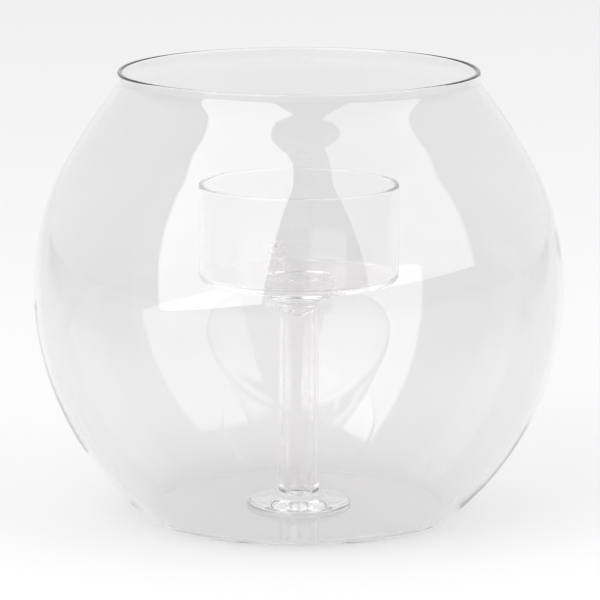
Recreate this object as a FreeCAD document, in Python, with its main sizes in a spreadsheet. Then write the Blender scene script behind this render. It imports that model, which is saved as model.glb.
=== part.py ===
import FreeCAD, Part
import math
import os

import Sketcher
from FreeCAD import Placement, Rotation, Vector

# An open globe of clear blown glass with a short collar and a flat base. A hollow glass stem stands
# fused on the middle of its floor and carries a straight-sided glass cup for a tealight; the space
# round the stem holds the bait. Millimetres, +Z up, origin at the centre of the base's underside.

# The driving dimensions, by piece. Every radius is measured from the vertical axis unless it says
# that it is the radius of an arc.
SIZES = {
    # globe_bowl
    "globe_height": 127.0,
    "globe_radius": 75.0,
    "widest_height": 65.7,  # where the globe is widest
    "upper_arc": 72.5,  # arc above the widest point
    "lower_arc": 84.4,  # fuller arc below it
    "shoulder_angle": 33.3,  # the straight shoulder leans this far from vertical
    "neck_arc": 3.6,  # hollow curve between shoulder and collar
    "mouth_radius": 51.0,  # outside of the collar
    "base_corner": 6.8,  # arc between side and base
    "wall": 1.4,
    "floor_thickness": 1.8,
    "inner_lower_arc": 82.4,  # the wall thickens towards the base
    "inner_corner": 6.2,
    # stem_foot
    "foot_radius": 14.9,
    "foot_height": 5.6,
    "foot_edge": 1.6,  # arc of the foot's rounded edge
    "foot_root": 3.2,  # arc where the foot runs up into the stem
    "bore_floor": 1.2,  # solid glass under the stem's bore
    # stem_tube
    "stem_radius": 5.65,
    "bore_radius": 3.0,
    # stem_top
    "plug_height": 8.5,
    "plug_bulge": 1.5,  # how far the closed end bulges down into the bore
    "flare_radius": 9.9,
    "flare_arc": 2.2,
    "flare_angle": 70.0,  # how far the flare turns out from vertical
    "flare_edge": 4.3,  # height of the thick button that the flare ends in
    # candle_cup
    "cup_base": 66.8,  # height of the cup's underside
    "cup_radius": 28.3,
    "cup_height": 28.0,
    "cup_wall": 1.4,
    "cup_floor": 1.8,
    "cup_corner": 2.5,
    "cup_inner_corner": 0.8,
    # vent_lip and its seat in the cup's wall
    "vent_radius": 1.0,
    "vent_height": 4.3,  # above the cup's underside
    "vent_azimuth": 103.5,  # degrees from +X towards +Y
    "seat_radius": 2.7,
    "seat_reach": 27.3,  # flat seat's distance from the cup's axis
    "lip_height": 1.9,
    "lip_round": 0.84,
}

START, END, CENTRE = 1, 2, 3  # the points of a line or an arc, by number
ORIGIN = (-1, 1)  # the sketch's own origin point

document = FreeCAD.newDocument("globe_with_cup")
sheet = document.addObject("Spreadsheet::Sheet", "sizes")
for row, (alias, value) in enumerate(SIZES.items(), start=1):
    sheet.set(f"A{row}", alias)
    sheet.set(f"B{row}", str(value))
    sheet.setAlias(f"B{row}", alias)
document.recompute()


def new_body(label, height="0 mm"):
    """A body whose own bottom stands at a height that the sheet gives."""
    body = document.addObject("PartDesign::Body", label)
    body.Label = label
    body.setExpression("Placement.Base.z", height)
    return body


def new_sketch(body, name, role="XZ_Plane", offset=0.0):
    """A sketch on one of the body's origin planes, moved along the plane's normal."""
    plane = next(f for f in body.Origin.OriginFeatures if f.Role == role)
    sketch = body.newObject("Sketcher::SketchObject", name)
    sketch.AttachmentSupport = (plane, [""])
    sketch.MapMode = "FlatFace"
    sketch.AttachmentOffset = Placement(Vector(0, 0, offset), Rotation())
    return sketch


class Outline:
    """A closed chain of lines and arcs in a sketch, each joined to the one before it."""

    def __init__(self, sketch):
        self.sketch = sketch
        self.pieces = []  # (geometry number, its first point, its last point)

    def join(self, number, first, last, smooth):
        if self.pieces:
            before, _, end = self.pieces[-1]
            kind = "Tangent" if smooth else "Coincident"
            self.sketch.addConstraint(Sketcher.Constraint(kind, before, end, number, first))
        self.pieces.append((number, first, last))
        return number

    def line(self, start, end, smooth=False):
        segment = Part.LineSegment(Vector(*start, 0), Vector(*end, 0))
        return self.join(self.sketch.addGeometry(segment), START, END, smooth)

    def arc(self, centre, radius, from_angle, to_angle, smooth=True):
        circle = Part.Circle(Vector(*centre, 0), Vector(0, 0, 1), radius)
        low, high = sorted((math.radians(from_angle), math.radians(to_angle)))
        number = self.sketch.addGeometry(Part.ArcOfCircle(circle, low, high))
        ends = (START, END) if from_angle < to_angle else (END, START)
        return self.join(number, *ends, smooth)

    def close(self):
        """Meets the first piece again, at the sketch's origin."""
        number, first, _ = self.pieces[0]
        before, _, end = self.pieces[-1]
        self.tie("Coincident", before, end, number, first)

    def tie(self, kind, *where):
        self.sketch.addConstraint(Sketcher.Constraint(kind, *where))

    def size(self, kind, *where, to):
        """A dimension driven by an expression over the sheet."""
        value = self.sketch.evalExpression(to)
        if kind == "Angle":
            value = math.radians(value.Value)
        number = self.sketch.addConstraint(Sketcher.Constraint(kind, *where, float(value)))
        self.sketch.setExpression(f"Constraints[{number}]", to)


def revolved(body, sketch):
    """Turns a sketch once round the body's own vertical axis."""
    turn = body.newObject("PartDesign::Revolution", f"{sketch.Name}_turned")
    turn.Profile = sketch
    turn.ReferenceAxis = (sketch, ["V_Axis"])
    turn.Angle = 360.0
    sketch.Visibility = False
    return turn


def point_on(centre, radius, angle):
    """The point of a circle at an angle in degrees."""
    turn = math.radians(angle)
    return (centre[0] + radius * math.cos(turn), centre[1] + radius * math.sin(turn))


def corner_centre(arc_centre, arc_radius, corner_radius, floor):
    """The centre of the small arc that meets a big arc from inside and a level line."""
    up = floor + corner_radius
    across = math.sqrt((arc_radius - corner_radius) ** 2 - (up - arc_centre[1]) ** 2)
    return (arc_centre[0] + across, up)


def angle_from(start, end):
    """The direction from one point to another, in degrees."""
    return math.degrees(math.atan2(end[1] - start[1], end[0] - start[0]))


def make_globe():
    """The blown globe: base, side, shoulder and collar in one wall with a fire-polished rim."""
    s = SIZES
    body = new_body("globe_bowl")
    outline = Outline(new_sketch(body, "globe_profile"))
    lean = s["shoulder_angle"]
    wall = s["wall"]
    inner_radius = s["globe_radius"] - wall
    inner_mouth = s["mouth_radius"] - wall
    upper = (s["globe_radius"] - s["upper_arc"], s["widest_height"])
    lower = (s["globe_radius"] - s["lower_arc"], s["widest_height"])
    inner_lower = (inner_radius - s["inner_lower_arc"], s["widest_height"])
    corner = corner_centre(lower, s["lower_arc"], s["base_corner"], 0.0)
    inner = corner_centre(
        inner_lower, s["inner_lower_arc"], s["inner_corner"], s["floor_thickness"]
    )
    # The neck arc's centre lies one neck radius outside both the collar and the shoulder line.
    neck_x = s["mouth_radius"] + s["neck_arc"]
    reach = s["upper_arc"] + s["neck_arc"]
    turn = math.radians(lean)
    along = (reach * math.cos(turn) - (neck_x - upper[0])) / math.sin(turn)
    neck = (neck_x, upper[1] + reach * math.sin(turn) + along * math.cos(turn))
    rim = (s["mouth_radius"] - wall / 2, s["globe_height"] - wall / 2)
    bottom_angle = angle_from(lower, corner)
    inner_angle = angle_from(inner_lower, inner)

    base = outline.line((0, 0), (corner[0], 0))
    corner_arc = outline.arc(corner, s["base_corner"], -90, bottom_angle)
    side = outline.arc(lower, s["lower_arc"], bottom_angle, 0)
    upper_side = outline.arc(upper, s["upper_arc"], 0, lean)
    shoulder = outline.line(
        point_on(upper, s["upper_arc"], lean),
        point_on(neck, s["neck_arc"], 180 + lean),
        smooth=True,
    )
    neck_arc = outline.arc(neck, s["neck_arc"], 180 + lean, 180)
    collar = outline.line((s["mouth_radius"], neck[1]), (s["mouth_radius"], rim[1]), smooth=True)
    rim_arc = outline.arc(rim, wall / 2, 0, 180)
    inner_collar = outline.line((inner_mouth, rim[1]), (inner_mouth, neck[1]), smooth=True)
    inner_neck = outline.arc(neck, s["neck_arc"] + wall, 180, 180 + lean)
    outline.line(
        point_on(neck, s["neck_arc"] + wall, 180 + lean),
        point_on(upper, s["upper_arc"] - wall, lean),
        smooth=True,
    )
    inner_upper = outline.arc(upper, s["upper_arc"] - wall, lean, 0)
    inner_side = outline.arc(inner_lower, s["inner_lower_arc"], 0, inner_angle)
    inner_corner = outline.arc(inner, s["inner_corner"], inner_angle, -90)
    floor = outline.line((inner[0], s["floor_thickness"]), (0, s["floor_thickness"]), smooth=True)
    axis = outline.line((0, s["floor_thickness"]), (0, 0))
    outline.close()

    outline.tie("Coincident", base, START, *ORIGIN)
    outline.tie("Horizontal", base)
    outline.tie("Vertical", axis)
    outline.tie("Horizontal", floor)
    outline.tie("Vertical", collar)
    outline.tie("Vertical", inner_collar)
    outline.tie("Horizontal", upper_side, CENTRE, upper_side, START)
    outline.tie("Horizontal", inner_upper, CENTRE, inner_upper, START)
    outline.tie("Coincident", inner_upper, CENTRE, upper_side, CENTRE)
    outline.tie("Coincident", inner_neck, CENTRE, neck_arc, CENTRE)
    outline.size("DistanceX", *ORIGIN, side, END, to="sizes.globe_radius")
    outline.size("DistanceY", *ORIGIN, side, END, to="sizes.widest_height")
    outline.size("Radius", side, to="sizes.lower_arc")
    outline.size("Radius", corner_arc, to="sizes.base_corner")
    outline.size("Radius", upper_side, to="sizes.upper_arc")
    outline.size("Radius", neck_arc, to="sizes.neck_arc")
    outline.size("Angle", shoulder, to="(90 + sizes.shoulder_angle) * 1 deg")
    outline.size("DistanceX", *ORIGIN, collar, END, to="sizes.mouth_radius")
    outline.size("DistanceY", *ORIGIN, rim_arc, CENTRE, to="sizes.globe_height - sizes.wall / 2")
    outline.size("Radius", rim_arc, to="sizes.wall / 2")
    outline.size("Radius", inner_upper, to="sizes.upper_arc - sizes.wall")
    outline.size("Radius", inner_side, to="sizes.inner_lower_arc")
    outline.size("Radius", inner_corner, to="sizes.inner_corner")
    outline.size("DistanceY", axis, END, axis, START, to="sizes.floor_thickness")
    revolved(body, outline.sketch)
    return body


def make_foot():
    """The spread foot: a rounded edge, a shallow slope and a hollow root up to the stem."""
    s = SIZES
    body = new_body("stem_foot", "sizes.floor_thickness * 1 mm")
    outline = Outline(new_sketch(body, "foot_profile"))
    edge = (s["foot_radius"] - s["foot_edge"], 0.0)
    root = (s["stem_radius"] + s["foot_root"], s["foot_height"])
    # The slope is the line that touches the edge arc from above and the root arc from below.
    apart = math.dist(edge, root)
    across = math.degrees(math.asin((s["foot_edge"] + s["foot_root"]) / apart))
    normal = angle_from(edge, root) + across - 90
    bore_end = (0.0, s["bore_floor"] + s["bore_radius"])

    base = outline.line((0, 0), (s["foot_radius"], 0))
    edge_arc = outline.arc(edge, s["foot_edge"], 0, normal, smooth=False)
    outline.line(
        point_on(edge, s["foot_edge"], normal),
        point_on(root, s["foot_root"], normal + 180),
        smooth=True,
    )
    root_arc = outline.arc(root, s["foot_root"], normal + 180, 180)
    joint = outline.line((s["stem_radius"], s["foot_height"]), (s["bore_radius"], s["foot_height"]))
    bore = outline.line((s["bore_radius"], s["foot_height"]), (s["bore_radius"], bore_end[1]))
    bore_arc = outline.arc(bore_end, s["bore_radius"], 0, -90)
    axis = outline.line((0, s["bore_floor"]), (0, 0))
    outline.close()

    outline.tie("Coincident", base, START, *ORIGIN)
    outline.tie("Horizontal", base)
    outline.tie("Vertical", axis)
    outline.tie("Vertical", bore)
    outline.tie("Horizontal", joint)
    outline.tie("Horizontal", edge_arc, CENTRE, base, END)
    outline.tie("Horizontal", root_arc, CENTRE, joint, START)
    outline.tie("PointOnObject", bore_arc, CENTRE, -2)
    outline.size("DistanceX", *ORIGIN, base, END, to="sizes.foot_radius")
    outline.size("DistanceY", *ORIGIN, joint, START, to="sizes.foot_height")
    outline.size("DistanceX", *ORIGIN, joint, START, to="sizes.stem_radius")
    outline.size("Radius", edge_arc, to="sizes.foot_edge")
    outline.size("Radius", root_arc, to="sizes.foot_root")
    outline.size("Radius", bore_arc, to="sizes.bore_radius")
    outline.size("DistanceY", axis, END, axis, START, to="sizes.bore_floor")
    revolved(body, outline.sketch)
    return body


def make_stem():
    """The stem: a length of thick-walled glass tube between the foot and the plug."""
    body = new_body("stem_tube", "(sizes.floor_thickness + sizes.foot_height) * 1 mm")
    sketch = new_sketch(body, "stem_section", "XY_Plane")
    for radius in ("stem_radius", "bore_radius"):
        circle = Part.Circle(Vector(0, 0, 0), Vector(0, 0, 1), SIZES[radius])
        number = sketch.addGeometry(circle)
        sketch.addConstraint(Sketcher.Constraint("Coincident", number, CENTRE, *ORIGIN))
        constraint = Sketcher.Constraint("Radius", number, SIZES[radius])
        sketch.setExpression(f"Constraints[{sketch.addConstraint(constraint)}]", f"sizes.{radius}")
    pad = body.newObject("PartDesign::Pad", "stem_length")
    pad.Profile = sketch
    pad.setExpression(
        "Length",
        "(sizes.cup_base - sizes.plug_height - sizes.floor_thickness - sizes.foot_height) * 1 mm",
    )
    sketch.Visibility = False
    return body


def make_stem_top():
    """The stem's closed top: a plug that bulges into the bore and flares out to a thick button."""
    s = SIZES
    body = new_body("stem_top", "(sizes.cup_base - sizes.plug_height) * 1 mm")
    outline = Outline(new_sketch(body, "plug_profile"))
    turn = math.radians(s["flare_angle"])
    out = s["stem_radius"] + s["flare_arc"] * (1 - math.cos(turn))
    edge_height = s["plug_height"] - s["flare_edge"]
    arc_top = edge_height - (s["flare_radius"] - out) / math.tan(turn)
    flare = (s["stem_radius"] + s["flare_arc"], arc_top - s["flare_arc"] * math.sin(turn))
    bulge = (s["bore_radius"] ** 2 + s["plug_bulge"] ** 2) / (2 * s["plug_bulge"])
    bulge_centre = (0.0, bulge - s["plug_bulge"])
    bulge_angle = angle_from(bulge_centre, (s["bore_radius"], 0.0))

    bulge_arc = outline.arc(bulge_centre, bulge, -90, bulge_angle)
    joint = outline.line((s["bore_radius"], 0), (s["stem_radius"], 0))
    neck = outline.line((s["stem_radius"], 0), (s["stem_radius"], flare[1]))
    flare_arc = outline.arc(flare, s["flare_arc"], 180, 180 - s["flare_angle"])
    slope = outline.line(
        point_on(flare, s["flare_arc"], 180 - s["flare_angle"]),
        (s["flare_radius"], edge_height),
        smooth=True,
    )
    edge = outline.line((s["flare_radius"], edge_height), (s["flare_radius"], s["plug_height"]))
    top = outline.line((s["flare_radius"], s["plug_height"]), (0, s["plug_height"]))
    axis = outline.line((0, s["plug_height"]), (0, -s["plug_bulge"]))
    outline.close()

    outline.tie("Horizontal", joint)
    outline.tie("Vertical", neck)
    outline.tie("Vertical", edge)
    outline.tie("Horizontal", top)
    outline.tie("Vertical", axis)
    outline.tie("PointOnObject", axis, START, -2)
    outline.tie("PointOnObject", bulge_arc, CENTRE, -2)
    outline.tie("PointOnObject", joint, START, -1)
    outline.size("DistanceX", *ORIGIN, joint, START, to="sizes.bore_radius")
    outline.size("DistanceX", *ORIGIN, joint, END, to="sizes.stem_radius")
    outline.size("DistanceX", *ORIGIN, edge, START, to="sizes.flare_radius")
    outline.size("DistanceY", *ORIGIN, top, END, to="sizes.plug_height")
    outline.size("DistanceY", axis, END, *ORIGIN, to="sizes.plug_bulge")
    outline.size("DistanceY", edge, START, edge, END, to="sizes.flare_edge")
    outline.size("Radius", flare_arc, to="sizes.flare_arc")
    outline.size("Angle", slope, to="(90 - sizes.flare_angle) * 1 deg")
    revolved(body, outline.sketch)
    return body


def cut_outwards(body, name, radius, offset):
    """Cuts a round hole along the body's own +Y, at the vent's height, from offset outwards."""
    sketch = new_sketch(body, f"{name}_circle", offset=-offset)
    at = Vector(0, SIZES["vent_height"], 0)
    number = sketch.addGeometry(Part.Circle(at, Vector(0, 0, 1), SIZES[radius]))
    sketch.addConstraint(Sketcher.Constraint("PointOnObject", number, CENTRE, -2))
    for kind, where, alias in (
        ("Radius", (number,), radius),
        ("DistanceY", (*ORIGIN, number, CENTRE), "vent_height"),
    ):
        constraint = Sketcher.Constraint(kind, *where, SIZES[alias])
        sketch.setExpression(f"Constraints[{sketch.addConstraint(constraint)}]", f"sizes.{alias}")
    if offset:
        sketch.setExpression("AttachmentOffset.Base.z", "-sizes.seat_reach * 1 mm")
    document.recompute()
    before = body.Shape.Volume
    pocket = body.newObject("PartDesign::Pocket", name)
    pocket.Profile = sketch
    pocket.setExpression("Length", "2 * sizes.cup_radius * 1 mm")
    sketch.Visibility = False
    document.recompute()
    if not body.Shape.Volume < before:
        raise RuntimeError(f"{name} cuts nothing")


def make_cup():
    """The tealight cup: a straight wall on a flat floor, with a vent hole and its flat seat."""
    s = SIZES
    body = new_body("candle_cup", "sizes.cup_base * 1 mm")
    outline = Outline(new_sketch(body, "cup_profile"))
    wall = s["cup_wall"]
    inside = s["cup_radius"] - wall
    corner = (s["cup_radius"] - s["cup_corner"], s["cup_corner"])
    inner = (inside - s["cup_inner_corner"], s["cup_floor"] + s["cup_inner_corner"])
    rim = (s["cup_radius"] - wall / 2, s["cup_height"] - wall / 2)

    base = outline.line((0, 0), (corner[0], 0))
    corner_arc = outline.arc(corner, s["cup_corner"], -90, 0)
    side = outline.line((s["cup_radius"], corner[1]), (s["cup_radius"], rim[1]), smooth=True)
    rim_arc = outline.arc(rim, wall / 2, 0, 180)
    inner_side = outline.line((inside, rim[1]), (inside, inner[1]), smooth=True)
    inner_arc = outline.arc(inner, s["cup_inner_corner"], 0, -90)
    floor = outline.line((inner[0], s["cup_floor"]), (0, s["cup_floor"]), smooth=True)
    axis = outline.line((0, s["cup_floor"]), (0, 0))
    outline.close()

    outline.tie("Coincident", base, START, *ORIGIN)
    outline.tie("Horizontal", base)
    outline.tie("Vertical", side)
    outline.tie("Vertical", inner_side)
    outline.tie("Horizontal", floor)
    outline.tie("Vertical", axis)
    outline.size("DistanceX", *ORIGIN, side, START, to="sizes.cup_radius")
    outline.size("DistanceY", *ORIGIN, rim_arc, CENTRE, to="sizes.cup_height - sizes.cup_wall / 2")
    outline.size("Radius", corner_arc, to="sizes.cup_corner")
    outline.size("Radius", rim_arc, to="sizes.cup_wall / 2")
    outline.size("Radius", inner_arc, to="sizes.cup_inner_corner")
    outline.size("DistanceY", axis, END, axis, START, to="sizes.cup_floor")
    revolved(body, outline.sketch)
    cut_outwards(body, "vent_seat", "seat_radius", s["seat_reach"])
    cut_outwards(body, "vent_hole", "vent_radius", 0.0)
    facing = s["vent_azimuth"] - 90
    body.Placement = Placement(Vector(0, 0, s["cup_base"]), Rotation(Vector(0, 0, 1), facing))
    return body


def make_vent_lip():
    """The raised, rounded lip of the vent hole, standing on its flat seat and facing outwards."""
    s = SIZES
    body = new_body("vent_lip", "(sizes.cup_base + sizes.vent_height) * 1 mm")
    outline = Outline(new_sketch(body, "lip_profile"))
    low, high = s["seat_reach"], s["seat_reach"] + s["lip_height"]
    corner = s["lip_round"]
    straight = high - corner

    outer_arc_centre = (s["seat_radius"] - corner, straight)
    inner_arc_centre = (s["vent_radius"] + corner, straight)
    base = outline.line((s["vent_radius"], low), (s["seat_radius"], low))
    outer = outline.line((s["seat_radius"], low), (s["seat_radius"], straight))
    outer_arc = outline.arc(outer_arc_centre, corner, 0, 90)
    top = outline.line((outer_arc_centre[0], high), (inner_arc_centre[0], high), smooth=True)
    inner_arc = outline.arc(inner_arc_centre, corner, 90, 180)
    inner = outline.line((s["vent_radius"], straight), (s["vent_radius"], low), smooth=True)
    outline.close()

    outline.tie("Horizontal", base)
    outline.tie("Vertical", outer)
    outline.tie("Horizontal", top)
    outline.tie("Vertical", inner)
    outline.tie("Equal", outer_arc, inner_arc)
    outline.size("DistanceX", *ORIGIN, base, START, to="sizes.vent_radius")
    outline.size("DistanceX", *ORIGIN, base, END, to="sizes.seat_radius")
    outline.size("DistanceY", *ORIGIN, base, START, to="sizes.seat_reach")
    outline.size("DistanceY", base, END, top, START, to="sizes.lip_height")
    outline.size("Radius", outer_arc, to="sizes.lip_round")
    revolved(body, outline.sketch)
    # The body's own +Z turns to face outwards from the cup's axis, at the vent's azimuth.
    tip = Rotation(Vector(1, 0, 0), 90)
    facing = Rotation(Vector(0, 0, 1), s["vent_azimuth"] + 90)
    height = s["cup_base"] + s["vent_height"]
    body.Placement = Placement(Vector(0, 0, height), facing.multiply(tip))
    return body


parts = [make_globe(), make_foot(), make_stem(), make_stem_top(), make_cup(), make_vent_lip()]
document.recompute()

for thing in document.Objects:
    if "Invalid" in thing.State or "Error" in thing.State:
        raise RuntimeError(f"{thing.Label} failed: {thing.State}")
for part in parts:
    if part.Shape.isNull() or not part.Shape.isValid() or len(part.Shape.Solids) != 1:
        raise RuntimeError(f"{part.Label} isn't one valid solid")

os.makedirs("parts", exist_ok=True)
for part in parts:
    part.Shape.exportStep(f"parts/{part.Label}.step")
    box = part.Shape.optimalBoundingBox()
    print(
        f"{part.Label}: {part.Shape.Volume:.1f} mm3, radius to {box.XMax:.2f},"
        f" z {box.ZMin:.2f} to {box.ZMax:.2f}"
    )
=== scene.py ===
"""An open glass globe with a tealight cup on a stem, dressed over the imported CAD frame.

Every glass piece is a turned mesh that stands for one CAD node. The faces where two pieces are fused
carry a clear material, so that the glass reads as one body with no surface inside it.
"""

import math

import bmesh
import bpy
from mathutils import Matrix, Vector


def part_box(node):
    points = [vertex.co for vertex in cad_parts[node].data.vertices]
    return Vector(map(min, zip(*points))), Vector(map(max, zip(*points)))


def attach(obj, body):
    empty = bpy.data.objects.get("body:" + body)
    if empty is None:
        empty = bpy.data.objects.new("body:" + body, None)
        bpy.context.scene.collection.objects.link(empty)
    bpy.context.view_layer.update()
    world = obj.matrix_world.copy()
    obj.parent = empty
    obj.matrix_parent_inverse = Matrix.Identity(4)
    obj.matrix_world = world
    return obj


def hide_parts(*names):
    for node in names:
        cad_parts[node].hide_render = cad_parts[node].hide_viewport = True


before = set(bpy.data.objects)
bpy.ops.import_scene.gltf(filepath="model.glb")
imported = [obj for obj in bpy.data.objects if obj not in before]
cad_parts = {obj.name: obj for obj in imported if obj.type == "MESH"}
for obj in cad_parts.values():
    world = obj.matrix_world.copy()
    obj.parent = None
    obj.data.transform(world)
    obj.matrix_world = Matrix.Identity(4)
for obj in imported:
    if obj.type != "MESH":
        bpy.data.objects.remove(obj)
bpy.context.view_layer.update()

MM = 0.001
GLASS, FUSED = 0, 1  # a face's kind is also its material's place in the piece's list

# Where the CAD stands. The main heights and radii below come from these.
globe_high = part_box("globe_bowl")[1]
foot_low, foot_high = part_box("stem_foot")
tube_low, tube_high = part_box("stem_tube")
cup_low, cup_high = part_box("candle_cup")

# The sizes of the sections in millimetres.
GLOBE_HEIGHT = round(globe_high.z / MM, 1)
GLOBE_RADIUS = round(globe_high.x / MM, 1)
WIDEST = 65.7
UPPER_ARC, LOWER_ARC = 72.5, 84.4
INNER_LOWER_ARC = 82.4
# The globe's shoulder and neck: how far they lean from upright, as (height, degrees). The first lean
# holds where the upper arc ends, and the last one is the collar's.
SHOULDER = 31.5
NECK_LEAN = (
    (106.0, 31.6), (108.0, 31.6), (110.0, 31.8), (112.0, 32.8), (114.0, 34.5), (116.0, 35.6),
    (118.0, 35.6), (120.0, 34.8), (121.5, 32.0), (122.8, 25.0), (124.0, 12.0), (125.0, 0.0),
)
MOUTH = 51.0
BASE_CORNER, INNER_CORNER = 6.8, 6.2
WALL, FLOOR = 1.4, round(foot_low.z / MM, 1)
FOOT_RADIUS = round(foot_high.x / MM, 1)
FOOT_TOP = round(tube_low.z / MM, 1)
FOOT_EDGE, FOOT_ROOT = 1.6, 3.2
STEM, BORE = 5.65, 3.0
BORE_FLOOR = 1.2
PLUG_BASE = round(tube_high.z / MM, 1)
PLUG_BULGE = 1.5
FLARE_RADIUS, FLARE_ARC, FLARE_ANGLE, FLARE_EDGE = 9.9, 2.2, 70.0, 4.3
CUP_BASE = round(cup_low.z / MM, 1)
CUP_TOP = round(cup_high.z / MM, 1)
CUP_RADIUS, CUP_WALL, CUP_FLOOR = 28.3, 1.4, 1.8
CUP_CORNER, CUP_INNER_CORNER = 2.5, 0.8
VENT_Z = CUP_BASE + 4.3
VENT_AZIMUTH = math.radians(103.5)
VENT_RADIUS, SEAT_RADIUS, SEAT_REACH = 1.0, 2.7, 27.3
LIP_TOP, LIP_ROUND = SEAT_REACH + 1.9, 0.84

# How finely the meshes are divided. The cup's wall has a square window round the vent, of this many
# faces each way and this far up and down from the vent's centre, outside and inside.
TURNS, CUP_TURNS = 256, 384
NECK_STEPS = 6
RIM_STEP = 4.0
WINDOW = 16
OUTER_WINDOW, INNER_WINDOW = 3.3, 1.7
VENT_TURNS = 4 * WINDOW


def arc(centre, radius, start, end, step=2.0, skip_first=True):
    """Points along an arc in the r-z plane, with the angles in degrees."""
    count = max(2, math.ceil(abs(end - start) / step))
    points = []
    for i in range(1 if skip_first else 0, count + 1):
        turn = math.radians(start + (end - start) * i / count)
        points.append((centre[0] + radius * math.cos(turn), centre[1] + radius * math.sin(turn)))
    return points


def run(start, end, count):
    """Evenly spaced points from start to end, without the start."""
    return [
        (start[0] + (end[0] - start[0]) * i / count, start[1] + (end[1] - start[1]) * i / count)
        for i in range(1, count + 1)
    ]


def direction(start, end):
    """The direction from one point to another, in degrees."""
    return math.degrees(math.atan2(end[1] - start[1], end[0] - start[0]))


def corner_centre(centre, radius, corner, floor):
    """The centre of the small arc that meets a big arc from inside and a level line."""
    up = floor + corner
    return (centre[0] + math.sqrt((radius - corner) ** 2 - (up - centre[1]) ** 2), up)


class Outline:
    """A section to be turned: points in millimetres, and the kind of the strip after each point."""

    def __init__(self, start):
        self.points = [start]
        self.kinds = []

    def add(self, points, kind=GLASS):
        """Goes on through these points. Every strip on the way is of that kind."""
        self.points += points
        self.kinds += [kind] * len(points)


def neck_points(start):
    """The shoulder and neck, from the end of the upper arc to the foot of the collar."""
    steps = []
    z, lean = start[1], SHOULDER
    for next_z, next_lean in NECK_LEAN:
        for i in range(NECK_STEPS):
            middle = lean + (next_lean - lean) * (i + 0.5) / NECK_STEPS
            steps.append(((next_z - z) / NECK_STEPS, math.tan(math.radians(middle))))
        z, lean = next_z, next_lean
    # All slopes are scaled by the same share, so that the line ends on the collar.
    scale = (start[0] - MOUTH) / sum(rise * slope for rise, slope in steps)
    points = []
    r, z = start
    for rise, slope in steps:
        r, z = r - rise * slope * scale, z + rise
        points.append((r, z))
    return points


def shifted_in(points):
    """The same line one wall further in, measured square to it, without its last point."""
    moved = []
    for i, (r, z) in enumerate(points[:-1]):
        before, after = points[max(i - 1, 0)], points[i + 1]
        length = math.dist(before, after)
        along = ((after[0] - before[0]) / length, (after[1] - before[1]) / length)
        moved.append((r - along[1] * WALL, z + along[0] * WALL))
    return moved


def globe_outline():
    """The globe, from the middle of its underside, up the outside and down the inside."""
    inner_radius = GLOBE_RADIUS - WALL
    upper = (GLOBE_RADIUS - UPPER_ARC, WIDEST)
    lower = (GLOBE_RADIUS - LOWER_ARC, WIDEST)
    inner_lower = (inner_radius - INNER_LOWER_ARC, WIDEST)
    corner = corner_centre(lower, LOWER_ARC, BASE_CORNER, 0.0)
    inner = corner_centre(inner_lower, INNER_LOWER_ARC, INNER_CORNER, FLOOR)
    rim = (MOUTH - WALL / 2, GLOBE_HEIGHT - WALL / 2)
    low_turn = direction(lower, corner)
    inner_turn = direction(inner_lower, inner)

    section = Outline((0.0, 0.0))
    section.add(run((0.0, 0.0), (corner[0], 0.0), count=24))
    section.add(arc(corner, BASE_CORNER, -90, low_turn))
    section.add(arc(lower, LOWER_ARC, low_turn, 0, step=1.0))
    section.add(arc(upper, UPPER_ARC, 0, SHOULDER, step=1.0))
    neck = neck_points(section.points[-1])
    section.add(neck)
    section.add(run(section.points[-1], (MOUTH, rim[1]), count=2))
    section.add(arc(rim, WALL / 2, 0, 180, RIM_STEP))
    section.add(run(section.points[-1], (MOUTH - WALL, neck[-1][1]), count=2))
    section.add(shifted_in(neck)[::-1])
    section.add(arc(upper, UPPER_ARC - WALL, SHOULDER, 0, step=1.0, skip_first=False))
    section.add(arc(inner_lower, INNER_LOWER_ARC, 0, inner_turn, step=1.0))
    section.add(arc(inner, INNER_CORNER, inner_turn, -90))
    section.add(run(section.points[-1], (FOOT_RADIUS, FLOOR), count=20))
    section.add([(0.0, FLOOR)], FUSED)
    return section


def foot_outline():
    """The spread foot, from the middle of its underside to the bottom of the stem's bore."""
    edge = (FOOT_RADIUS - FOOT_EDGE, FLOOR)
    root = (STEM + FOOT_ROOT, FOOT_TOP)
    bore_end = (0.0, FLOOR + BORE_FLOOR + BORE)
    # The slope between them touches the edge's arc from above and the root's arc from below.
    turn_in = math.degrees(math.asin((FOOT_EDGE + FOOT_ROOT) / math.dist(edge, root)))
    normal = direction(edge, root) + turn_in - 90
    root_points = arc(root, FOOT_ROOT, normal + 180, 180, step=4.0, skip_first=False)

    section = Outline((0.0, FLOOR))
    section.add([(FOOT_RADIUS, FLOOR)], FUSED)
    section.add(arc(edge, FOOT_EDGE, 0, normal, step=5.0))
    section.add(run(section.points[-1], root_points[0], count=6))
    section.add(root_points[1:])
    section.add([(BORE, FOOT_TOP)], FUSED)
    section.add([(BORE, bore_end[1])])
    section.add(arc(bore_end, BORE, 0, -90, step=5.0))
    return section


def tube_outline():
    """The stem's tube: a loop round its wall. The last ring lies on the first and isn't joined to it."""
    section = Outline((BORE, FOOT_TOP))
    section.add([(STEM, FOOT_TOP)], FUSED)
    section.add(run((STEM, FOOT_TOP), (STEM, PLUG_BASE), count=40))
    section.add([(BORE, PLUG_BASE)], FUSED)
    section.add(run((BORE, PLUG_BASE), (BORE, FOOT_TOP), count=40))
    return section


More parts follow.
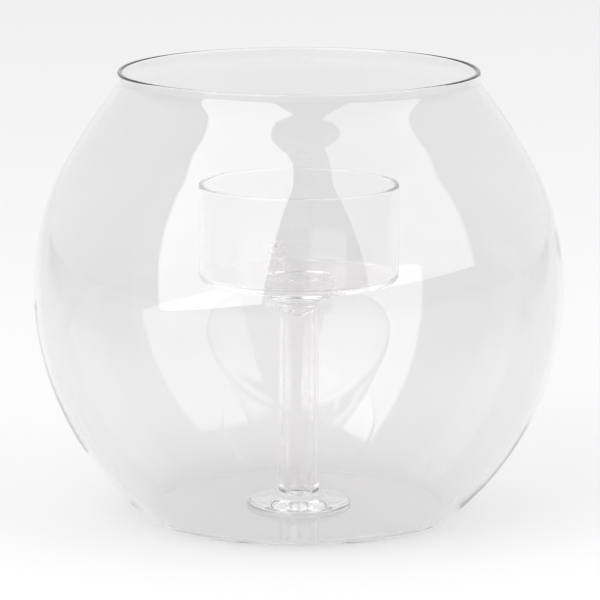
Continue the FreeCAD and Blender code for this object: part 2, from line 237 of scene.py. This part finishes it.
def plug_outline():
    """The stem's closed top, from the lowest point of its bulge to the cup's underside."""
    turn = math.radians(FLARE_ANGLE)
    out = STEM + FLARE_ARC * (1 - math.cos(turn))
    edge_z = CUP_BASE - FLARE_EDGE
    arc_top = edge_z - (FLARE_RADIUS - out) / math.tan(turn)
    flare = (STEM + FLARE_ARC, arc_top - FLARE_ARC * math.sin(turn))
    bulge = (BORE**2 + PLUG_BULGE**2) / (2 * PLUG_BULGE)
    bulge_centre = (0.0, PLUG_BASE + bulge - PLUG_BULGE)
    bulge_end = direction(bulge_centre, (BORE, PLUG_BASE))

    section = Outline((0.0, PLUG_BASE - PLUG_BULGE))
    section.add(arc(bulge_centre, bulge, -90, bulge_end, step=5.0))
    section.add([(STEM, PLUG_BASE)], FUSED)
    section.add([(STEM, flare[1])])
    section.add(arc(flare, FLARE_ARC, 180, 180 - FLARE_ANGLE, step=4.0))
    section.add([(FLARE_RADIUS, edge_z), (FLARE_RADIUS, CUP_BASE)])
    section.add([(0.0, CUP_BASE)], FUSED)
    return section


def outer_radius(z):
    """The radius of the cup's outside at a height."""
    drop = CUP_BASE + CUP_CORNER - z
    if drop <= 0:
        return CUP_RADIUS
    return CUP_RADIUS - CUP_CORNER + math.sqrt(CUP_CORNER**2 - drop**2)


def inner_radius(z):
    """The radius of the cup's inside at a height."""
    inside = CUP_RADIUS - CUP_WALL
    drop = CUP_BASE + CUP_FLOOR + CUP_INNER_CORNER - z
    if drop <= 0:
        return inside
    return inside - CUP_INNER_CORNER + math.sqrt(CUP_INNER_CORNER**2 - drop**2)


def cup_outline():
    """The cup, from the middle of its underside, and the rows where the vent's two windows start."""
    inside = CUP_RADIUS - CUP_WALL
    corner = (CUP_RADIUS - CUP_CORNER, CUP_BASE + CUP_CORNER)
    inner = (inside - CUP_INNER_CORNER, CUP_BASE + CUP_FLOOR + CUP_INNER_CORNER)
    rim = (CUP_RADIUS - CUP_WALL / 2, CUP_TOP - CUP_WALL / 2)
    window_low = VENT_Z - OUTER_WINDOW
    window_high = VENT_Z + INNER_WINDOW
    corner_end = math.degrees(math.asin((window_low - corner[1]) / CUP_CORNER))

    section = Outline((0.0, CUP_BASE))
    section.add([(FLARE_RADIUS, CUP_BASE)], FUSED)
    section.add(run(section.points[-1], (corner[0], CUP_BASE), count=12))
    section.add(arc(corner, CUP_CORNER, -90, corner_end, step=5.0))
    outer_row = len(section.points) - 1
    for i in range(1, WINDOW + 1):
        z = window_low + 2 * OUTER_WINDOW * i / WINDOW
        section.add([(outer_radius(z), z)])
    section.add(run(section.points[-1], (CUP_RADIUS, rim[1]), count=20))
    section.add(arc(rim, CUP_WALL / 2, 0, 180, RIM_STEP))
    section.add(run(section.points[-1], (inside, window_high), count=20))
    inner_row = len(section.points) - 1
    for i in range(1, WINDOW + 1):
        z = window_high - 2 * INNER_WINDOW * i / WINDOW
        section.add([(inner_radius(z), z)])
    inner_start = math.degrees(math.asin((section.points[-1][1] - inner[1]) / CUP_INNER_CORNER))
    section.add(arc(inner, CUP_INNER_CORNER, inner_start, -90, step=8.0))
    section.add(run(section.points[-1], (0.0, CUP_BASE + CUP_FLOOR), count=16))
    return section, outer_row, inner_row


def ring(mesh, point, turns, start):
    """The vertices of one point of a section, turned round the axis."""
    r, z = point
    if r < 1e-6:
        return [mesh.verts.new((0.0, 0.0, z))]
    angles = [start + math.tau * j / turns for j in range(turns)]
    return [mesh.verts.new((r * math.cos(angle), r * math.sin(angle), z)) for angle in angles]


def turned(mesh, section, turns, start=0.0, window_rows=()):
    """Turns a section round the axis and returns its rings, one list of vertices per point.

    Each window row starts a square window at the first column that is left open."""
    rings = [ring(mesh, point, turns, start) for point in section.points]
    for i, kind in enumerate(section.kinds):
        below, above = rings[i], rings[i + 1]
        in_window = any(row <= i < row + WINDOW for row in window_rows)
        for j in range(WINDOW if in_window else 0, turns):
            k = (j + 1) % turns
            if len(below) == 1:
                corners = (below[0], above[k], above[j])
            elif len(above) == 1:
                corners = (below[j], below[k], above[0])
            else:
                corners = (below[j], below[k], above[k], above[j])
            mesh.faces.new(corners).material_index = kind
    return rings


def between(mesh, first, second, kind=GLASS):
    """Joins two loops of as many vertices with a band of faces."""
    count = len(first)
    for j in range(count):
        k = (j + 1) % count
        mesh.faces.new((first[j], first[k], second[k], second[j])).material_index = kind


def vent_place(across, up, out):
    """A point in the vent's own directions: across, up and out from the cup's axis."""
    return (
        out * math.cos(VENT_AZIMUTH) - across * math.sin(VENT_AZIMUTH),
        out * math.sin(VENT_AZIMUTH) + across * math.cos(VENT_AZIMUTH),
        VENT_Z + up,
    )


def vent_point(across, up, surface):
    """A point of the wall round the vent: across it and up from its centre."""
    out = math.sqrt(surface(VENT_Z + up) ** 2 - across**2)
    return vent_place(across, up, out)


def vent_angle(n):
    """The direction of a loop's vertex round the vent, from the window's lower corner."""
    lower_corner = math.radians(-135)
    return lower_corner + math.tau * n / VENT_TURNS


def vent_loop(mesh, radius, place):
    """A round loop about the vent, at a radius, where the function place puts each point."""
    angles = [vent_angle(n) for n in range(VENT_TURNS)]
    return [mesh.verts.new(place(radius * math.cos(a), radius * math.sin(a))) for a in angles]


def patch(mesh, rings, row, surface, radius, steps=6, bunching=1.3):
    """Fills a window of the wall with loops that close in to a round hole. Returns the hole's loop."""
    edge = [rings[row][j] for j in range(WINDOW)]
    edge += [rings[row + i][WINDOW] for i in range(WINDOW)]
    edge += [rings[row + WINDOW][j] for j in range(WINDOW, 0, -1)]
    edge += [rings[row + i][0] for i in range(WINDOW, 0, -1)]
    side = 1 if rings[row + WINDOW][0].co.z > rings[row][0].co.z else -1
    last = edge
    for step in range(steps - 1, -1, -1):
        share = (step / steps) ** bunching
        loop = []
        for n, vert in enumerate(edge):
            angle = side * vent_angle(n)
            across = -vert.co.x * math.sin(VENT_AZIMUTH) + vert.co.y * math.cos(VENT_AZIMUTH)
            up = vert.co.z - VENT_Z
            a = radius * math.cos(angle) * (1 - share) + across * share
            b = radius * math.sin(angle) * (1 - share) + up * share
            loop.append(mesh.verts.new(vent_point(a, b, surface)))
        between(mesh, last, loop)
        last = loop
    return last


def finished(mesh, name, materials, nodes, smooth_angle=32.0):
    """Turns a bmesh in millimetres into a piece that stands for its CAD nodes."""
    mesh.transform(Matrix.Scale(MM, 4))
    bmesh.ops.recalc_face_normals(mesh, faces=mesh.faces)
    for face in mesh.faces:
        face.smooth = True
    for line in mesh.edges:
        kinds = {face.material_index for face in line.link_faces}
        line.smooth = len(kinds) == 1 and line.calc_face_angle(0.0) < math.radians(smooth_angle)
    data = bpy.data.meshes.new(name)
    mesh.to_mesh(data)
    mesh.free()
    for material in materials:
        data.materials.append(material)
    piece = bpy.data.objects.new(name, data)
    bpy.context.scene.collection.objects.link(piece)
    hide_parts(*nodes)
    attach(piece, "root")


def make_turned(name, outline, materials, nodes, smooth_angle=32.0):
    """A piece that is turned all round and nothing else."""
    mesh = bmesh.new()
    turned(mesh, outline, TURNS)
    finished(mesh, name, materials, nodes, smooth_angle)


def make_cup(materials):
    """The cup, with the vent's hole through its wall and the flat seat of the vent's lip."""
    mesh = bmesh.new()
    section, outer_row, inner_row = cup_outline()
    start = VENT_AZIMUTH - math.tau * (WINDOW / 2) / CUP_TURNS
    rings = turned(mesh, section, CUP_TURNS, start, (outer_row, inner_row))
    seat_edge = patch(mesh, rings, outer_row, outer_radius, SEAT_RADIUS)
    inner_edge = patch(mesh, rings, inner_row, inner_radius, VENT_RADIUS)
    seat_floor = vent_loop(mesh, SEAT_RADIUS, lambda a, b: vent_place(a, b, SEAT_REACH))
    seat_hole = vent_loop(mesh, VENT_RADIUS, lambda a, b: vent_place(a, b, SEAT_REACH))
    between(mesh, seat_edge, seat_floor, FUSED)
    between(mesh, seat_floor, seat_hole, FUSED)
    # The inner wall's rows run downwards, so its loop starts at the top and goes the other way round.
    first = 3 * VENT_TURNS // 4
    between(mesh, seat_hole, [inner_edge[(first - n) % VENT_TURNS] for n in range(VENT_TURNS)])
    finished(mesh, "glass_cup", materials, ["candle_cup"], smooth_angle=40.0)


def make_vent_lip(materials):
    """The raised lip of the vent: a ring on its flat seat, rounded outside and inside."""
    mesh = bmesh.new()
    low = LIP_TOP - LIP_ROUND
    profile = arc((SEAT_RADIUS - LIP_ROUND, low), LIP_ROUND, 0, 90, step=9.0, skip_first=False)
    profile += arc((VENT_RADIUS + LIP_ROUND, low), LIP_ROUND, 90, 180, step=9.0, skip_first=False)
    loops = [
        vent_loop(mesh, VENT_RADIUS, lambda a, b: vent_place(a, b, SEAT_REACH)),
        vent_loop(mesh, SEAT_RADIUS, lambda a, b: vent_place(a, b, SEAT_REACH)),
        vent_loop(mesh, SEAT_RADIUS, lambda a, b: vent_point(a, b, outer_radius)),
    ]
    for radius, reach in profile:
        loops.append(vent_loop(mesh, radius, lambda a, b: vent_place(a, b, reach)))
    for i, loop in enumerate(loops):
        # The seat's floor and the part of the side that is sunk in the cup's wall are fused.
        between(mesh, loop, loops[(i + 1) % len(loops)], FUSED if i < 2 else GLASS)
    finished(mesh, "glass_vent_lip", materials, ["vent_lip"], smooth_angle=60.0)


def glass(name, tint, wave, ripple):
    """Clear glass with the long, soft waves of blown glass and a faint film of dust and marks.

    The wave is its height in millimetres, and the ripple is the scale of the noise that makes it."""
    material = bpy.data.materials.new(name)
    material.use_nodes = True
    tree = material.node_tree
    link = tree.links.new
    shader = tree.nodes["Principled BSDF"]
    shader.inputs["Base Color"].default_value = (*tint, 1.0)
    shader.inputs["IOR"].default_value = 1.48
    shader.inputs["Transmission Weight"].default_value = 1.0

    place = tree.nodes.new("ShaderNodeTexCoord")
    film = tree.nodes.new("ShaderNodeTexNoise")
    film.inputs["Scale"].default_value = 55.0
    film.inputs["Detail"].default_value = 6.0
    film.inputs["Roughness"].default_value = 0.7
    link(place.outputs["Object"], film.inputs["Vector"])
    spread = tree.nodes.new("ShaderNodeMapRange")
    spread.inputs["From Min"].default_value = 0.66
    spread.inputs["From Max"].default_value = 0.85
    spread.inputs["To Min"].default_value = 0.0
    spread.inputs["To Max"].default_value = 0.025
    link(film.outputs["Fac"], spread.inputs["Value"])
    link(spread.outputs["Result"], shader.inputs["Roughness"])

    waves = tree.nodes.new("ShaderNodeTexNoise")
    waves.inputs["Scale"].default_value = ripple
    waves.inputs["Detail"].default_value = 1.0
    link(place.outputs["Object"], waves.inputs["Vector"])
    bump = tree.nodes.new("ShaderNodeBump")
    bump.inputs["Strength"].default_value = 1.0
    bump.inputs["Distance"].default_value = wave * MM
    link(waves.outputs["Fac"], bump.inputs["Height"])
    link(bump.outputs["Normal"], shader.inputs["Normal"])
    return material


def fused():
    """The faces inside fused glass, where nothing shows."""
    material = bpy.data.materials.new("fused_joint")
    material.use_nodes = True
    tree = material.node_tree
    tree.nodes.remove(tree.nodes["Principled BSDF"])
    clear = tree.nodes.new("ShaderNodeBsdfTransparent")
    tree.links.new(clear.outputs["BSDF"], tree.nodes["Material Output"].inputs["Surface"])
    return material


def worked_out(tree, operation, value, *numbers):
    """A math node of a value and up to two more values or numbers. Returns its result."""
    node = tree.nodes.new("ShaderNodeMath")
    node.operation = operation
    for socket, given in zip(node.inputs, (value, *numbers)):
        if isinstance(given, bpy.types.NodeSocket):
            tree.links.new(given, socket)
        else:
            socket.default_value = given
    return node.outputs["Value"]


def faded(tree, value, start, end, low, high):
    """A smooth step of a value, from low at its start to high at its end."""
    node = tree.nodes.new("ShaderNodeMapRange")
    node.interpolation_type = "SMOOTHSTEP"
    node.inputs["From Min"].default_value = start
    node.inputs["From Max"].default_value = end
    node.inputs["To Min"].default_value = low
    node.inputs["To Max"].default_value = high
    tree.links.new(value, node.inputs["Value"])
    return node.outputs["Result"]


def coordinates(tree, kind):
    """The separate X, Y and Z of a texture coordinate."""
    where = tree.nodes.new("ShaderNodeTexCoord")
    split = tree.nodes.new("ShaderNodeSeparateXYZ")
    tree.links.new(where.outputs[kind], split.inputs["Vector"])
    return split.outputs


def pale():
    """The floor's material: a grey base under a painted glow of its own, which makes it pale and is
    weaker in front and far to the sides, as painted shade.
    """
    material = bpy.data.materials.new("pale_floor")
    material.use_nodes = True
    tree = material.node_tree
    shader = tree.nodes["Principled BSDF"]
    shader.inputs["Base Color"].default_value = (0.35, 0.35, 0.35, 1.0)
    shader.inputs["Roughness"].default_value = 0.9
    shader.inputs["Specular IOR Level"].default_value = 0.0
    shader.inputs["Emission Color"].default_value = (1.0, 1.0, 1.0, 1.0)
    # Past this half width, in metres, every metre aside counts as this much further to the front.
    half_width, side_falloff = 0.09, -1.5
    ground = coordinates(tree, "Object")
    aside = worked_out(tree, "ABSOLUTE", ground["X"])
    beyond = worked_out(tree, "MAXIMUM", worked_out(tree, "SUBTRACT", aside, half_width), 0.0)
    shade_aside = worked_out(tree, "MULTIPLY", beyond, side_falloff)
    back = worked_out(tree, "ADD", shade_aside, ground["Y"])
    # Painted light: the floor glows, and the glow drops to a painted shade in front and far to the
    # sides.
    painted_glow = faded(tree, back, start=-0.40, end=-0.10, low=0.35, high=0.59)
    tree.links.new(painted_glow, shader.inputs["Emission Strength"])
    return material


def make_floor():
    """A wide round floor, just under the globe's base."""
    gap = 0.2
    mesh = bmesh.new()
    bmesh.ops.create_circle(mesh, cap_ends=True, segments=128, radius=4.0)
    data = bpy.data.meshes.new("floor")
    mesh.to_mesh(data)
    mesh.free()
    data.materials.append(pale())
    floor = bpy.data.objects.new("floor", data)
    floor.location.z = -gap * MM
    bpy.context.scene.collection.objects.link(floor)


def softbox(name, azimuth, elevation, roll, left, right, low, high, radiance):
    """A tall softbox: a rectangle in the plane a metre off, square to that direction.

    Azimuth runs to the right of the camera's side. The edges are in metres in the plane, measured
    from the point that faces the middle of the globe."""
    az, el, tilt = math.radians(azimuth), math.radians(elevation), math.radians(roll)
    away = Vector((math.sin(az) * math.cos(el), -math.cos(az) * math.cos(el), math.sin(el)))
    level = Vector((math.cos(az), math.sin(az), 0.0))
    rise = away.cross(level)
    across = level * math.cos(tilt) + rise * math.sin(tilt)
    up = rise * math.cos(tilt) - level * math.sin(tilt)
    globe_middle = Vector((0.0, 0.0, 0.08))
    centre = away + globe_middle + across * (left + right) / 2 + up * (low + high) / 2
    lamp = bpy.data.lights.new(name, "AREA")
    lamp.shape = "RECTANGLE"
    lamp.size, lamp.size_y = right - left, high - low
    lamp.energy = radiance * math.pi * lamp.size * lamp.size_y
    lamp.diffuse_factor = 0.5
    light = bpy.data.objects.new(name, lamp)
    light.matrix_world = Matrix.Translation(centre) @ Matrix((across, up, away)).transposed().to_4x4()
    bpy.context.scene.collection.objects.link(light)


def make_room():
    """The room's own light: brighter at the back and overhead than in front."""
    world = bpy.data.worlds.new("studio")
    bpy.context.scene.world = world
    world.use_nodes = True
    tree = world.node_tree
    background = tree.nodes["Background"]
    background.inputs["Color"].default_value = (1.0, 1.0, 1.0, 1.0)
    way = coordinates(tree, "Generated")
    back_share, up_share = 0.75, 0.65
    back = worked_out(tree, "MULTIPLY", way["Y"], back_share)
    back_and_up = worked_out(tree, "MULTIPLY_ADD", way["Z"], up_share, back)
    strength = faded(tree, back_and_up, start=0.05, end=0.62, low=0.4, high=0.9)
    tree.links.new(strength, background.inputs["Strength"])


def make_camera():
    """The camera stands 1.2 m off and 0.28 m up, and looks down at the middle of the globe."""
    place = (0.0003, -1.1866, 0.2838)
    pitch_down = 0.1854
    data = bpy.data.cameras.new("camera")
    data.lens = 255.6
    data.sensor_width = 36.0
    data.clip_start, data.clip_end = 0.05, 20.0
    camera = bpy.data.objects.new("camera", data)
    camera.location = place
    camera.rotation_euler = (math.pi / 2 - pitch_down, 0.0, 0.0)
    bpy.context.scene.collection.objects.link(camera)
    bpy.context.scene.camera = camera


joint = fused()
globe_glass = [glass("globe_glass", tint=(0.93, 0.923, 0.926), wave=0.12, ripple=22.0), joint]
stem_glass = [glass("stem_glass", tint=(0.975, 0.973, 0.97), wave=0.02, ripple=60.0), joint]
cup_glass = [glass("cup_glass", tint=(0.98, 0.979, 0.977), wave=0.05, ripple=35.0), joint]

make_turned("glass_globe", globe_outline(), globe_glass, ["globe_bowl"])
make_turned("glass_foot", foot_outline(), stem_glass, ["stem_foot"], smooth_angle=60.0)
make_turned("glass_stem", tube_outline(), stem_glass, ["stem_tube"])
make_turned("glass_stem_top", plug_outline(), stem_glass, ["stem_top"])
make_cup(cup_glass)
make_vent_lip(cup_glass)

# The studio: a pale floor with a painted glow that is weaker in front and far to the sides, two tall
# softboxes that lean over the object on either side of the camera, and a room that is brighter at the
# back and overhead than in front.
make_floor()
softbox(
    "softbox_left", azimuth=-58.3, elevation=22.2, roll=8.8,
    left=-0.096, right=0.918, low=-0.501, high=0.89, radiance=2.5,
)
softbox(
    "softbox_right", azimuth=37.8, elevation=15.2, roll=4.1,
    left=-0.155, right=0.908, low=-0.147, high=1.01, radiance=1.6,
)
make_room()
make_camera()

# Light that runs along inside the thin wall is turned back many times before it comes out.
scene = bpy.context.scene
scene.view_settings.view_transform = "Standard"
scene.cycles.max_bounces = 96
scene.cycles.transmission_bounces = 96
scene.cycles.glossy_bounces = 48
scene.cycles.transparent_max_bounces = 48
